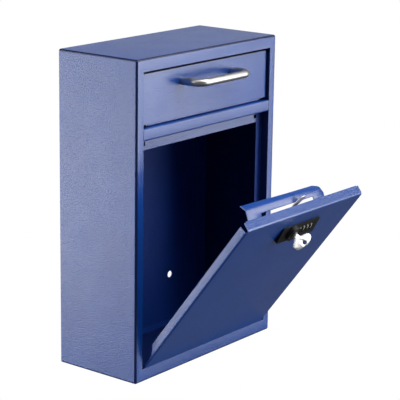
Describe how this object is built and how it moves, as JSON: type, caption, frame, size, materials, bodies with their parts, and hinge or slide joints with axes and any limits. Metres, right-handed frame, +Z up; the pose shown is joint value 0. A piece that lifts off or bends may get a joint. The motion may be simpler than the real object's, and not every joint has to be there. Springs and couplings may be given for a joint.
{
  "type": "locking wall mailbox",
  "caption": "Wall-mounted sheet-steel mailbox with a drop flap and bar handle above a drop-down door, shown open, with a key and combination lock.",
  "frame": {"origin": "middle of the back panel's outer face, on the wall", "axes": "+X to the right seen from the front, +Y into the wall, +Z up"},
  "size_m": [0.2846, 0.2884, 0.4116],
  "materials": {
    "blue_paint": "semi-gloss textured powder coat",
    "stainless": "polished stainless bar",
    "zinc_plate": "zinc plated",
    "nickel": "nickel plated",
    "dark_plate": "black plated",
    "black_moulding": "satin black",
    "dial": "black with white numerals"
  },
  "bodies": {
    "cabinet": {"cabinet_shell": "blue_paint", "back_panel": "blue_paint", "door_jamb_left": "blue_paint", "door_jamb_right": "blue_paint", "flap_jamb_left": "blue_paint", "flap_jamb_right": "blue_paint", "mid_rail": "blue_paint", "flap_hinge_fixed_leaf": "zinc_plate", "flap_hinge_pin": "zinc_plate", "door_hinge_fixed_leaf": "zinc_plate", "door_hinge_pin": "zinc_plate"},
    "flap": {"flap_panel": "blue_paint", "flap_hinge_flap_leaf": "zinc_plate", "hopper_wing_left": "zinc_plate", "hopper_wing_right": "zinc_plate", "hopper_baffle": "zinc_plate", "handle": "stainless", "handle_screw_left": "zinc_plate", "handle_screw_right": "zinc_plate"},
    "door": {"door_panel": "blue_paint", "latch_guard": "blue_paint", "door_hinge_door_leaf": "zinc_plate", "lock_faceplate": "black_moulding", "faceplate_screw_left": "zinc_plate", "faceplate_screw_right": "zinc_plate", "lock_barrel": "dark_plate", "lock_nut": "zinc_plate", "dial_housing": "black_moulding", "dial_axle": "zinc_plate"},
    "lock_plug": {"lock_plug": "dark_plate", "lock_cam": "zinc_plate", "cam_screw": "zinc_plate"},
    "key": {"key": "nickel"},
    "dial_1": {"dial_1": "dial"},
    "dial_2": {"dial_2": "dial"},
    "dial_3": {"dial_3": "dial"},
    "dial_4": {"dial_4": "dial"}
  },
  "joints": [
    {"name": "flap_hinge", "type": "hinge", "parent": "cabinet", "child": "flap", "pos_m": [0, -0.1193, 0.12175], "axis": [1, 0, 0], "range_deg": [0, 50]},
    {"name": "door_hinge", "type": "hinge", "parent": "cabinet", "child": "door", "pos_m": [0, -0.1235, -0.18758], "axis": [1, 0, 0], "range_deg": [-37, 0]},
    {"name": "lock_turn", "type": "hinge", "parent": "door", "child": "lock_plug", "pos_m": [-0.00925, -0.26406, -0.00714], "axis": [0, -0.7982, -0.6024], "range_deg": [0, 90]},
    {"name": "key_slide", "type": "slide", "parent": "lock_plug", "child": "key", "axis": [0, -0.7982, -0.6024], "range_m": [0, 0.025]},
    {"name": "dial_1_turn", "type": "hinge", "parent": "door", "child": "dial_1", "pos_m": [0.0067, -0.26218, -0.00597], "axis": [1, 0, 0], "continuous": true},
    {"name": "dial_2_turn", "type": "hinge", "parent": "door", "child": "dial_2", "pos_m": [0.0145, -0.26218, -0.00597], "axis": [1, 0, 0], "continuous": true},
    {"name": "dial_3_turn", "type": "hinge", "parent": "door", "child": "dial_3", "pos_m": [0.0223, -0.26218, -0.00597], "axis": [1, 0, 0], "continuous": true},
    {"name": "dial_4_turn", "type": "hinge", "parent": "door", "child": "dial_4", "pos_m": [0.0301, -0.26218, -0.00597], "axis": [1, 0, 0], "continuous": true}
  ]
}
